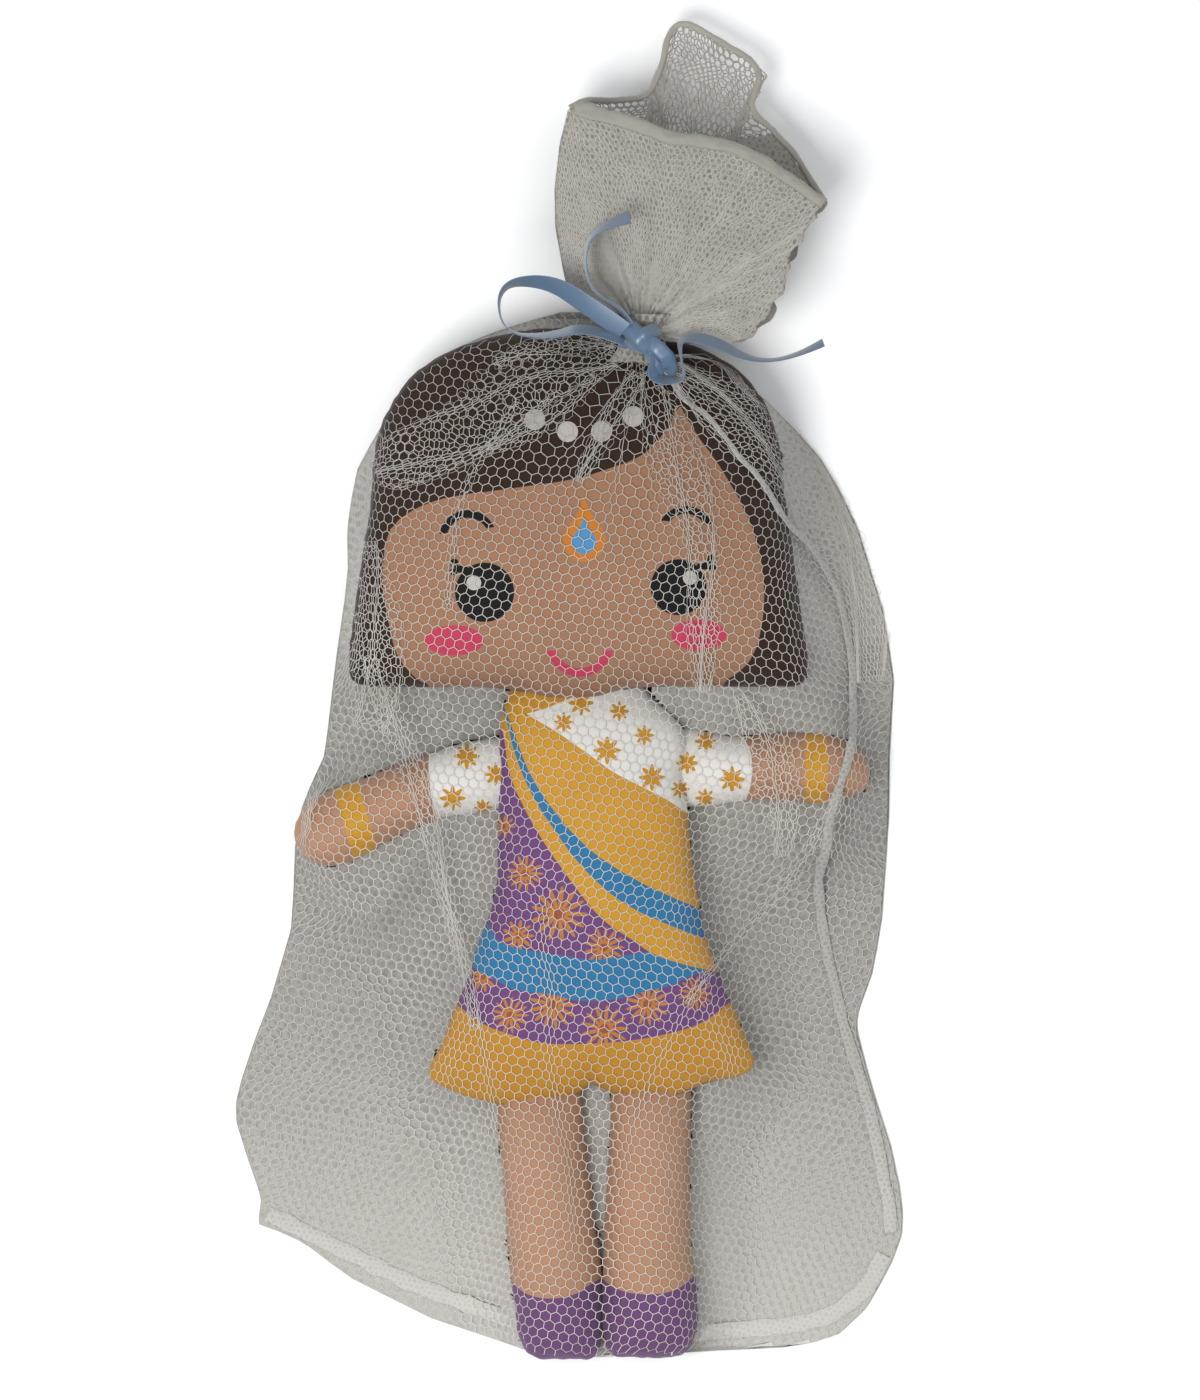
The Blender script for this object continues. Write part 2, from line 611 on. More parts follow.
def face_print():
    d = Drawing("printed face and hair")
    front = d.more(d.z, HEAD_MID)
    fringe = d.edge(d.x, [(-60, 45), (-53, 48), (-50, 51), (-41, 55.7), (-32, 57.8), (-22.7, 59),
                          (-11, 60.6), (0.4, 62.3), (12, 65.6), (21.5, 69.5), (26.2, 73.8),
                          (30.2, 78.5), (33.2, 84.0), (40, 85)])
    left = d.edge(d.y, [(-6, -40), (1.4, -42), (2.3, -44), (6.5, -48.5), (11, -51.4),
                        (19.7, -53.6),
                        (28, -55), (34, -55.4), (42, -54.8), (48, -53), (60, -48)])
    right = d.edge(d.y, [(-6, 44), (1.4, 46.4), (5.3, 51), (9.8, 54.8), (16.7, 57.2), (27, 58.4),
                         (36.5, 57.8), (46.4, 55.4), (54.5, 52), (61.7, 48), (69, 43.4), (75, 39),
                         (84, 33.6)])
    face = d.both(front, d.less(d.y, fringe), d.more(d.x, left), d.less(d.x, right))
    colour = d.paint(FACE_SKIN, face, HAIR)
    cheeks = d.either(d.disc(-34, 14.6, 8.8, 4.5), d.disc(38.9, 16.2, 8.2, 4.6))
    smile = d.both(d.ring(3.5, 13.9, 8.8, 2.6), d.less(d.y, 11.6))
    colour = d.paint(PINK, d.both(front, d.either(cheeks, smile)), colour)
    brow_left = d.both(d.ring(-29.9, 44.7, 7.5, 2.3),
                       d.more(d.math("MULTIPLY_ADD", d.x, -0.12, d.y), 50.9))
    brow_right = d.both(d.ring(35.0, 46.0, 7.4, 2.3),
                        d.more(d.math("MULTIPLY_ADD", d.x, 0.08, d.y), 52.4))
    eyes = d.either(d.disc(-24.9, 28.9, 8.8), d.disc(32.8, 30.4, 8.3))
    flicks = d.either(d.disc(-33.9, 37.6, 1.3), d.disc(-34.2, 35.0, 1.2, 1.0),
                      d.disc(-31.8, 35.8, 2.2, 1.1),
                      d.disc(42.6, 38.8, 1.3), d.disc(42.9, 36.2, 1.2, 1.0),
                      d.disc(40.4, 36.8, 2.2, 1.1))
    ink = d.both(front, d.either(brow_left, brow_right, eyes, flicks))
    colour = d.paint(screen(14, 12, 12), ink, colour)
    sparks = d.either(d.disc(-28.1, 31.7, 2.2), d.disc(36.2, 33.2, 2.1))
    beads = d.either(d.disc(-10, 80.3, 3.1), d.disc(-0.2, 76.7, 3.1), d.disc(9.9, 76.8, 3.1),
                     d.disc(19.4, 81.3, 3.1))
    colour = d.paint(PEARL, d.both(front, d.either(sparks, beads)), colour)
    for foot, top, wide, tint in ((38.0, 57.6, 6.3, screen(186, 112, 34)),
                                  (40.2, 51.4, 3.7, screen(74, 134, 178))):
        up = d.math("MULTIPLY_ADD", d.y, 1.0 / (top - foot), -foot / (top - foot))
        half = d.edge(up, [(0.0, 0.0), (0.04, 0.42), (0.14, 0.78), (0.30, 1.0), (0.44, 0.92),
                           (0.62, 0.55), (0.80, 0.22), (1.0, 0.0)])
        reach = d.math("ABSOLUTE", d.math("SUBTRACT", d.x, 4.7))
        drop = d.both(d.less(reach, d.math("MULTIPLY", half, wide)), d.more(up, 0.0),
                      d.less(up, 1.0))
        colour = d.paint(tint, d.both(front, drop), colour)
    return d.cloth(d.lit(colour, [(-10, 0.62), (-2, 0.78), (8, 0.93), (20, 1.0), (60, 0.99),
                                  (120, 0.94)]))


# %% Sari, dress and skirt
BLOUSE_FLOWERS = [
    (3.8, -4.0, 3.8), (15.2, -6.5, 3.0), (-1.4, -9.8, 3.0), (11.6, -18.2, 4.2), (22.7, -13.7, 3.0),
    (25.0, -26.3, 4.0), (33.5, -29.9, 2.9), (35.6, -22.0, 3.4), (41.2, -15.6, 3.3),
    (49.0, -26.9, 4.0),
    (41.0, -32.6, 3.0), (-30.5, -20.0, 3.9), (-34.7, -32.6, 3.9), (-21.8, -25.4, 3.5),
    (-25.7, -35.4, 2.8),
]
DRESS_FLOWERS = [
    (-2.8, -67.0, 8.4), (-13.0, -55.0, 5.6), (10.6, -77.0, 6.2), (-15.0, -73.6, 4.8),
    (-25.6, -86.0, 4.6),
    (-17.4, -97.4, 5.6), (-4.6, -94.2, 7.4), (10.8, -101.4, 7.2), (23.6, -94.0, 6.6),
    (38.0, -91.0, 5.2),
    (-19.4, -41.0, 3.6),
]


def dress_print():
    d = Drawing("printed sari dress")
    blouse_edge = d.edge(d.x, [(-24, -0.5), (-18.2, -2.3), (-12.2, -7.4), (-3.8, -12.5),
                               (5.6, -19), (13.7, -24.8),
                               (22.4, -29.3), (30.8, -33.8), (35, -36.8), (40, -40)])
    stripe_top = d.edge(d.x, [(-24, 6), (-18, -8.6), (-15.2, -16), (-11, -26), (-3.8, -36.8),
                              (5.6, -47),
                              (13.7, -53), (22.4, -58), (30.8, -62), (38.3, -65.3), (46, -69)])
    stripe_foot = d.edge(d.x, [(-24, 2), (-18.5, -9.8), (-16.4, -18), (-11.6, -30), (-3.8, -42.5),
                               (3.2, -51.8),
                               (10.7, -59.3), (18.2, -64.7), (28, -69.5), (39, -74), (46, -77)])
    sari_foot = d.edge(d.x, [(-24, -2), (-19.4, -14.3), (-18, -24), (-13.4, -35), (-7.7, -45),
                             (-0.8, -55),
                             (4.4, -62), (10.7, -69), (19.4, -75), (25, -78.8), (33.8, -82),
                             (44, -84.5), (50, -86)])
    belt_top = d.edge(d.x, [(-26, -68), (-23.6, -71.3), (-18.5, -76.4), (-10.7, -78.2),
                            (-1, -79.5), (7.7, -80.6),
                            (16.4, -79.5), (23, -78.5), (50, -74)])
    belt_foot = d.edge(d.x, [(-32, -81), (-28.7, -83.3), (-21.5, -87), (-14.3, -90), (-5.6, -91),
                             (5.6, -93),
                             (15, -92.3), (22, -90.5), (29.6, -88.7), (36.8, -85.7), (41, -84),
                             (50, -80)])
    skirt_top = d.edge(d.x, [(-40, -91), (-33.8, -94.4), (-25, -100.4), (-18, -103), (-7, -105.8),
                             (4, -106),
                             (18.5, -105), (29.6, -103), (36.8, -101), (45.5, -96), (52, -90)])
    flowers = d.either(*[d.daisy(*spot, petals=13 if spot[2] > 5 else 9,
                                 dip=0.72) for spot in DRESS_FLOWERS])
    hearts = d.either(*[d.disc(x, y, 0.2 * r) for x, y, r in DRESS_FLOWERS])
    colour = d.paint(FLOWER, flowers, PURPLE)
    colour = d.paint(screen(140, 76, 56), hearts, colour)
    belt = d.both(d.less(d.y, belt_top), d.more(d.y, belt_foot))
    colour = d.paint(BLUE, belt, colour)
    colour = d.paint(HEM_MUSTARD, d.less(d.y, skirt_top), colour)
    colour = d.paint(MUSTARD, d.more(d.y, sari_foot), colour)
    stripe = d.both(d.less(d.y, stripe_top), d.more(d.y, stripe_foot))
    colour = d.paint(BLUE, stripe, colour)
    drape = d.edge(d.x, [(-24, -9), (-12.3, -7.2), (0.2, -2.8), (12, 2), (50, 9)])
    above = d.both(d.more(d.y, blouse_edge), d.less(d.y, drape))
    blooms = d.either(*[d.daisy(*spot, petals=8) for spot in BLOUSE_FLOWERS])
    blouse = d.paint(SMALL_FLOWER, blooms, BLOUSE)
    colour = d.paint(blouse, above, colour)
    return d.cloth(d.lit(colour, [(-125, 0.86), (-112, 0.97), (-100, 1.0), (-20, 1.0), (-6, 0.9),
                                  (10, 0.8)]))


# %% Sleeves, hands, legs and shoes


def arm_print(name, cuff, band_start, band_end):
    """White sleeve, bare arm and a mustard bangle, marked off along the arm."""
    d = Drawing(name)
    sleeve = cuff(d)
    blooms = d.either(*[d.daisy(*spot, petals=8) for spot in BLOUSE_FLOWERS
                        if abs(spot[0] - 5) > 22])
    blouse = d.paint(SMALL_FLOWER, blooms, BLOUSE)
    bangle = d.both(band_start(d), band_end(d))
    colour = d.paint(MUSTARD, bangle, SKIN)
    return d.cloth(d.paint(blouse, sleeve, colour))


def slanted(d, x, y, lean):
    """How far a point lies to the right of a leaning line through x, y."""
    return d.math("SUBTRACT", d.x, d.math("MULTIPLY_ADD", d.y, lean, x - lean * y))


left_arm_cloth = arm_print(
    "printed left sleeve",
    lambda d: d.more(d.x, d.edge(d.y, [(-42, -38.4), (-34, -40.6), (-28, -41.6), (-22, -42.0),
                                       (-16, -41.4)])),
    lambda d: d.more(slanted(d, -69.5, -33, -0.30), 0.0),
    lambda d: d.less(slanted(d, -63, -28.7, -0.30), 0.0),
)
right_arm_cloth = arm_print(
    "printed right sleeve",
    lambda d: d.less(d.x, d.edge(d.y, [(-38, 51.6), (-32.3, 53.6), (-27, 54.8), (-21, 54.9),
                                       (-15, 52.9), (-10, 50)])),
    lambda d: d.more(d.x, 71.0),
    lambda d: d.less(d.x, 77.6),
)


def leg_print(name, shoe_top):
    d = Drawing(name)
    colour = d.paint(SHOE, d.less(d.y, d.edge(d.x, shoe_top)), SKIN)
    return d.cloth(d.lit(colour, [(-202, 0.9), (-185, 0.98), (-150, 1.0), (-128, 0.95),
                                  (-118, 0.82)]))


left_leg_cloth = leg_print("printed left leg", [
    (-20, -177), (-16.4, -178.7), (-11, -181.6), (-6.2, -182.3), (0, -181.6), (5.9, -178.7),
    (9.5, -177), (12, -176)])
right_leg_cloth = leg_print("printed right leg", [
    (8, -176), (10, -177), (15, -179.8), (20.3, -180.9), (26, -181), (31.4, -180), (36.5, -177),
    (40, -175)])

# %% Sew the doll


def to_metres(bm):
    """Turn a shape drawn in millimetres into metres."""
    bmesh.ops.scale(bm, vec=(MM, MM, MM), verts=bm.verts)


def sew(name, rows, middle, fullness, material, nodes, seed, extra=None, lumps=0.9, pucker=0.45):
    bm = pulled_ball(rows, fullness)
    bmesh.ops.subdivide_edges(bm, edges=bm.edges, cuts=1, use_grid_fill=True)
    bmesh.ops.smooth_vert(bm, verts=bm.verts, factor=0.3, use_axis_x=True, use_axis_y=True,
                          use_axis_z=True)
    if extra:
        extra(bm)
    quilt(bm, middle, lumps, pucker, seed)
    to_metres(bm)
    piece = finish_mesh(bm, name, material)
    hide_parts(*nodes)
    print(name, len(piece.data.polygons), "faces")
    return piece


def sub_parts(part):
    return [part + "_front", part + "_back", part + "_seam", part + "_filling"]


head = sew("doll_head", lying(HEAD_ROWS, HEAD_MID), HEAD_MID, 0.86, face_print(),
           sub_parts("head"), 1.0,
           push_the_chin)
torso = sew("doll_body", lying(TORSO_ROWS, TORSO_MID), TORSO_MID, 0.9, dress_print(),
            sub_parts("torso"), 2.0,
            wave_the_hem)
left_arm = sew("doll_left_arm", reaching(LEFT_ARM_ROWS, ARM_MID), ARM_MID, 1.0, left_arm_cloth,
               sub_parts("left_arm"), 3.0, lumps=0.5)
right_arm = sew("doll_right_arm", reaching(RIGHT_ARM_ROWS, ARM_MID), ARM_MID, 1.0, right_arm_cloth,
                sub_parts("right_arm"), 4.0, lumps=0.5)
left_leg = sew("doll_left_leg", lying(LEFT_LEG_ROWS, LEG_MID), LEG_MID, 0.95, left_leg_cloth,
               sub_parts("left_leg"), 5.0, lumps=0.5)
right_leg = sew("doll_right_leg", lying(RIGHT_LEG_ROWS, LEG_MID), LEG_MID, 0.95, right_leg_cloth,
                sub_parts("right_leg"), 6.0, lumps=0.5)
doll = [head, torso, left_arm, right_arm, left_leg, right_leg]

# %% [markdown]
# ## Where the net lies
# The net hangs over the doll like a light tent. Its height is found on a fine grid: rays
# dropped from above give the top of the doll, and then every point is moved again and
# again to the mean of its neighbours, less a little for weight, but never into the doll.

# %% Height of the draped net
STEP = 1.5
grid_x = np.arange(-106.0, 107.0, STEP)
grid_y = np.arange(-206.0, 121.0, STEP)
LEFT_EDGE = [
    (-201.8, -8), (-199, -14.6), (-194, -29.6), (-190, -41.6), (-183, -55.7), (-178, -65.6),
    (-173, -72.5),
    (-168, -79), (-165, -84.5), (-161.5, -94), (-154, -93), (-150.5, -94), (-142, -97),
    (-131, -100.4),
    (-125, -100.7), (-118, -99), (-106, -95), (-93, -90), (-72.5, -84), (-62, -83.3), (-47, -82.7),
    (-36.5, -81), (-30, -78.5), (-20, -74), (-13, -73), (0, -71.5), (12, -70), (27, -67.8),
    (36.5, -66.8),
    (48, -67), (56, -66), (66.5, -64), (74, -60), (84, -54), (92, -48.5), (100, -40), (106, -28),
    (110, -17),
    (114, -2.6), (117, 8),
]
RIGHT_EDGE = [
    (-201.8, 9.5), (-200, 36.5), (-199, 62.5), (-198, 71.6), (-196, 78.5), (-194.6, 82),
    (-187, 90), (-180, 94),
    (-173, 97.7), (-165, 100.7), (-158, 101), (-150, 100), (-138, 97.4), (-126, 93.5), (-114, 90),
    (-103, 87.2),
    (-99, 87.2), (-95, 88.4), (-86, 91.7), (-78, 93.2), (-69, 94.7), (-47.6, 96.2), (-38.6, 96.8),
    (-20, 97),
    (3, 98.3), (12, 97), (24, 95), (37, 91), (48.5, 87.5), (60, 82), (70, 76), (78, 69),
    (86.6, 60.5), (94, 52),
    (101, 44), (103.4, 36.5), (106, 30), (117, 12),
]
TIE = (21.2, 100.0, 38.5)


def left_edge(y):
    return np.interp(y, *zip(*LEFT_EDGE))


def right_edge(y):
    return np.interp(y, *zip(*RIGHT_EDGE))


def tops_of(pieces, swing=None):
    """How high the pieces reach over each grid point, in millimetres."""
    heights = np.zeros((len(grid_y), len(grid_x)))
    for piece in pieces:
        corners = [corner.co.copy() for corner in piece.data.vertices]
        if swing:
            centre, degrees = swing
            turn = Matrix.Translation(centre) @ Matrix.Rotation(math.radians(degrees), 4,
                                                            "Z") @ Matrix.Translation(-centre)
            corners = [turn @ corner for corner in corners]
        tree = BVHTree.FromPolygons(corners, [face.vertices[:] for face in piece.data.polygons])
        for j, y in enumerate(grid_y):
            for i, x in enumerate(grid_x):
                hit = tree.ray_cast(Vector((x * MM, y * MM, 0.1)), Vector((0, 0, -1)))[0]
                if hit is not None:
                    heights[j, i] = max(heights[j, i], hit.z / MM)
    return heights


def hinge(name):
    found = next(joint for joint in frame["record"]["behaviour"]["joints"]
                 if joint["name"] == name)
    return Vector(found["pos_m"]), found["range_deg"]


doll_top = tops_of(doll)
room = doll_top.copy()
for piece, name in ((left_arm, "left_shoulder"), (right_arm, "right_shoulder")):
    centre, limits = hinge(name)
    for degrees in (limits[0], limits[0] / 2, limits[1] / 2, limits[1]):
        if abs(degrees) > 2:
            room = np.maximum(room, tops_of([piece], (centre, degrees)))
mesh_x, mesh_y = np.meshgrid(grid_x, grid_y)
inside = (mesh_x > left_edge(mesh_y)) & (mesh_x < right_edge(mesh_y))
inside &= (mesh_y > -201.6) & (mesh_y < 115)
near_tie = np.hypot(mesh_x - TIE[0], mesh_y - TIE[1] - 4) < 5
floor_height = 1.4
lowest = np.where(room > 0, room + 0.5, floor_height)
lowest[near_tie] = TIE[2]
net_height = np.where(inside, lowest, floor_height)
WEIGHT = 0.035
SETTLING_STEPS = 500
for _ in range(SETTLING_STEPS):
    mean = net_height.copy()
    mean[1:-1, 1:-1] = (net_height[2:, 1:-1] + net_height[:-2, 1:-1]
                        + net_height[1:-1, 2:] + net_height[1:-1, :-2]) / 4 - WEIGHT
    net_height = np.where(inside, np.maximum(mean, lowest), floor_height)
print("net stands %.1f mm at its highest" % net_height.max())


def height_at(x, y):
    """Height of the net at any places, read between the grid's points."""
    u = np.clip((np.asarray(x) - grid_x[0]) / STEP, 0, len(grid_x) - 1.001)
    v = np.clip((np.asarray(y) - grid_y[0]) / STEP, 0, len(grid_y) - 1.001)
    i, j = u.astype(int), v.astype(int)
    a, b = u - i, v - j
    return ((net_height[j, i] * (1 - a) + net_height[j, i + 1] * a) * (1 - b)
            + (net_height[j + 1, i] * (1 - a) + net_height[j + 1, i + 1] * a) * b)


# the length of cloth from the middle line to each grid point, row by row
slope = np.gradient(net_height, STEP, axis=1)
run = np.sqrt(1 + slope ** 2) * STEP
cloth_length = np.cumsum(run, axis=1)
middle_column = int((3.0 - grid_x[0]) / STEP)
cloth_length -= cloth_length[:, middle_column][:, None]

# %% [markdown]
# ## Hexagonal net
# One hexagon is copied in doubling steps, which fills a sheet in a dozen calls. The
# corners are then laid over the doll, and each hexagon gets a hole by insetting its face
# and deleting the middle. What is left between the holes is the thread.

# %% A sheet of hexagons
def drop_faces(bm, unwanted):
    """Delete the faces for which unwanted is true."""
    lost = [face for face in bm.faces if unwanted(face)]
    bmesh.ops.delete(bm, geom=lost, context="FACES")


PITCH = 3.15
CELL = PITCH / math.sqrt(3)
THREAD = 0.125
LEAN = math.radians(-10.0)


def hexagon_sheet(low, high):
    """Hexagons side by side over a rectangle, in millimetres, all joined."""
    bm = bmesh.new()
    bmesh.ops.create_circle(bm, cap_ends=True, segments=6, radius=CELL)
    bmesh.ops.translate(bm, verts=bm.verts, vec=(low[0], low[1], 0))

    def double(step):
        made = bmesh.ops.duplicate(bm, geom=bm.verts[:] + bm.edges[:] + bm.faces[:])
        copied = [part for part in made["geom"] if isinstance(part, bmesh.types.BMVert)]
        bmesh.ops.translate(bm, vec=step, verts=copied)

    double((PITCH / 2, CELL * 1.5, 0))
    reach = PITCH
    while low[0] + reach < high[0]:
        double((reach, 0, 0))
        reach *= 2
    reach = CELL * 3
    while low[1] + reach < high[1]:
        double((0, reach, 0))
        reach *= 2
    drop_faces(bm, lambda face: face.calc_center_median().x > high[0]
               or face.calc_center_median().y > high[1])
    bmesh.ops.remove_doubles(bm, verts=bm.verts, dist=0.05)
    return bm


def corners_of(bm):
    return np.array([corner.co[:] for corner in bm.verts])


def place_corners(bm, places):
    for corner, place in zip(bm.verts, places):
        corner.co = place


def open_holes(bm, thread=THREAD):
    """Cut the hole of each cell, as large as its thread leaves room for."""
    bmesh.ops.dissolve_degenerate(bm, edges=bm.edges, dist=0.02)
    groups = {}
    for face in bm.faces:
        around = sum(edge.calc_length() for edge in face.edges)
        half = 2 * face.calc_area() / max(around, 1e-9)
        if half > 0.16:
            width = thread if half > 2.2 * thread else 0.45 * half
            groups.setdefault(round(width, 2), []).append(face)
    for width, faces in groups.items():
        bmesh.ops.inset_individual(bm, faces=faces, thickness=width, use_even_offset=False)
        bmesh.ops.delete(bm, geom=faces, context="FACES_ONLY")


# %% Creases and the gather
# each crease: points it runs through, half width, and how tightly it squeezes the cells
CREASES = [
    ([(-5, -55), (-5.5, -85), (-4.5, -110), (-2.5, -130), (0, -150), (3, -172)], 4.0, 0.6),
    ([(-30, -87), (-27, -102), (-25, -124), (-24, -140)], 4.0, 0.68),
    ([(42, -84), (33, -100), (24, -118), (19, -132), (16, -150)], 2.6, 0.6),
    ([(-57, 0), (-47.6, -22), (-42, -39), (-35.6, -67), (-30, -87)], 3.4, 0.65),
    ([(60, -2), (64, -14), (66, -34), (67, -55)], 3.6, 0.55),
    ([(38, 84), (41, 60), (43, 38), (41, 18), (41, -2)], 3.6, 0.3),
    ([(-60, 40), (-57, 20), (-56, -2)], 4.0, 0.5),
]


def creased(x, y):
    """Squeeze the net sideways along each crease."""
    for points, wide, strength in CREASES:
        points = sorted(points, key=lambda point: point[1])
        line = np.interp(y, [p[1] for p in points], [p[0] for p in points])
        low, high = points[0][1], points[-1][1]
        fade = np.clip((y - low) / 14 + 0.2, 0, 1) * np.clip((high - y) / 14 + 0.2, 0, 1)
        x = x - strength * wide * np.tanh((x - line) / wide) * fade
    return x


def gathered(x, y):
    """Pull the net in towards the tie, in folds like rays."""
    dx, dy = x - TIE[0], y - TIE[1]
    distance = np.hypot(dx, dy)
    angle = np.arctan2(dx, -dy)
    pulled = distance - 14 * np.exp(-((distance / 28) ** 2))
    fade = np.exp(-((distance / 40) ** 2))
    waves = np.sin(15 * angle + 1.3 * np.sin(3 * angle)) + 0.6 * np.sin(27 * angle + 2.0)
    sway = 2.0 * waves * fade
    turned = angle + sway / np.maximum(pulled, 4.0)
    lift = 1.3 * (1 + np.cos(15 * angle)) * fade * np.clip(distance / 14 - 0.6, 0, 1)
    return TIE[0] + pulled * np.sin(turned), TIE[1] - pulled * np.cos(turned), lift


def drop_outside(bm, outside):
    """Delete the cells that lie wholly past the edge of the bag."""
    lost = {corner for corner, out in zip(bm.verts, outside) if out}
    drop_faces(bm, lambda face: sum(corner in lost for corner in face.verts) >= len(face.verts)
               - 1)


EDGE_GAP = 0.5
NET_FOOT, NET_TOP = -201.2, 113.5
NEAR_TABLE = 2.4


def lay(bm):
    """Lay a flat sheet of net over the doll and pull it in at the tie."""
    flat = corners_of(bm)
    u = flat[:, 0] * math.cos(LEAN) - flat[:, 1] * math.sin(LEAN)
    y = flat[:, 0] * math.sin(LEAN) + flat[:, 1] * math.cos(LEAN)
    rows = np.clip((y - grid_y[0]) / STEP, 0, len(grid_y) - 1.001)
    j = rows.astype(int)
    x = np.empty_like(u)
    for row in np.unique(j):
        own = j == row
        part = rows[own] - row
        low = np.interp(u[own], cloth_length[row], grid_x)
        high = np.interp(u[own], cloth_length[row + 1], grid_x)
        x[own] = low * (1 - part) + high * part
    x = creased(x, y)
    wobble = np.array([noise.noise(Vector((a / 23, b / 23, 5.0))) for a, b in zip(x, y)])
    x = x + 1.3 * wobble
    x, y, fold = gathered(x, y)
    z = height_at(x, y)
    outside = (x < left_edge(y) + EDGE_GAP) | (x > right_edge(y) - EDGE_GAP)
    outside |= (y < NET_FOOT) | (y > NET_TOP)
    outside &= z < NEAR_TABLE
    x = np.clip(x, left_edge(y) + EDGE_GAP, right_edge(y) - EDGE_GAP)
    y = np.clip(y, NET_FOOT, NET_TOP)
    z = z + fold
    place_corners(bm, np.stack([x, y, z], axis=1))
    drop_outside(bm, outside)


# %% Thread material


def thread_material(name, colour, fade=0.25):
    d = Drawing(name, 0.6, 0.3)
    twist = d.noise(2.6, 2.0, 0.6)
    shade = d.math("MULTIPLY_ADD", twist, fade, 1.0 - fade / 2)
    shade = d.math("MULTIPLY", shade, d.edge(d.y,
                                             [(-205, 1.08), (-100, 0.98), (20, 0.92), (60, 0.78),
                                              (115, 0.74), (205, 1.0)]))
    d.links.new(d.toned(colour[:3], shade), d.shader.inputs["Base Color"])
    d.bumped(twist, 0.3, 0.1 * MM)
    return d.material


net_thread = thread_material("net thread", NET_WHITE)
hem_thread = thread_material("hem thread", screen(168, 164, 154), 0.3)

# %% Lay the front net
SPLIT_Y = -60.0


def net_piece(bm, name):
    """Open the holes of a laid net and make it an object in metres."""
    open_holes(bm)
    to_metres(bm)
    return finish_mesh(bm, name, net_thread, smooth=False)


whole = hexagon_sheet((-175.0, -230.0), (175.0, 160.0))
upright = Matrix.Rotation(LEAN, 3, "Z")
TIE_HOLE = 9.3
SLIVER = 0.3


def off_the_bag(face):
    """Cells round the tie, behind the knot and past the bag's own size."""
    centre = upright @ face.calc_center_median()
    at_tie = math.hypot(centre.x - TIE[0], centre.y - TIE[1]) < TIE_HOLE
    behind_knot = centre.y > 101 and centre.x > 24
    return at_tie or behind_knot or abs(centre.x) > 150 or centre.y < -203 or centre.y > 134


drop_faces(whole, off_the_bag)
lay(whole)
drop_faces(whole, lambda face: face.calc_area() < SLIVER)
print("front net cells:", len(whole.faces))
lower = whole.copy()
drop_faces(whole, lambda face: face.calc_center_median().y < SPLIT_Y)
drop_faces(lower, lambda face: face.calc_center_median().y >= SPLIT_Y)
net_upper = net_piece(whole, "net_front_upper")
net_lower = net_piece(lower, "net_front_lower")
print("net faces:", len(net_upper.data.polygons), len(net_lower.data.polygons))

# %% [markdown]
# ## Doubled folds
# Where the bag has more cloth than it needs, the net folds over itself and the cells
# crowd together. Each fold is a second strip of the same net, laid just above the first
# along a line of its own and squeezed sideways to fit the line's width.

# %% Strips of crowded net
FOLDS = [
    ([(16, 100, 4), (-1, 97, 7.5), (-14, 93, 9), (-24, 82, 9.5), (-36, 75, 9.5), (-48, 69, 8),
      (-60, 64, 4)], 1.5),
    ([(-2, 90, 0.8), (-11, 80, 1.1), (-34, 65.6, 1.0), (-55, 59, 0.7)], 2.2),
    ([(16, 103, 1.5), (2, 103.5, 3), (-12, 101, 3), (-24, 96, 1.5)], 1.8),
    ([(10, 95, 1.5), (0, 84, 2.4), (-12, 76, 2.2), (-26, 70, 1.2)], 2.0),
    ([(24, 97, 3), (27.5, 82, 6), (33, 66, 7.0), (39.0, 49, 5.6), (40.6, 36, 5.0), (40.0, 20, 4.2),
      (40.2, 6, 3.0), (40.4, -3, 2.0)], 1.6),
    ([(22, 96, 2.5), (16, 84, 4), (8, 72, 2.5), (2, 60, 1.2)], 2.2),
    ([(-60, 46, 3), (-59, 32, 6), (-58, 16, 7.5), (-57, 0, 7.5), (-60, -14, 6)], 1.5),
    ([(30, 97, 3), (44, 87, 8), (60, 76, 10), (72, 62, 10), (83, 44, 10), (90, 22, 7), (92, 0, 5)],
     2.5),
    ([(-14, 88, 0.8), (-24, 72, 1.0), (-31.7, 59.6, 1.0), (-34.7, 40, 1.0), (-36, 22, 0.8)], 2.4),
    ([(-60, 12, 2.4), (-57, 0, 3.0), (-48, -21, 4.0), (-42, -39, 3.2), (-36, -66, 1.9),
      (-30.5, -86, 1.8), (-27, -104, 2.0)], 1.9),
    ([(50, 0, 2.0), (58, -14, 5.0), (62, -26, 6.0), (65, -38, 4.5), (64, -52, 2.5)], 1.5),
    ([(83, -29, 1.6), (79, -36, 1.8), (68, -56, 1.8), (57.5, -68, 1.6), (44, -82, 1.4),
      (34, -96, 1.2)], 2.4),
]


def lengths_along(points):
    """How far along a line each of its points lies."""
    runs = [0.0]
    for a, b in zip(points, points[1:]):
        runs.append(runs[-1] + math.dist(a[:2], b[:2]))
    return runs


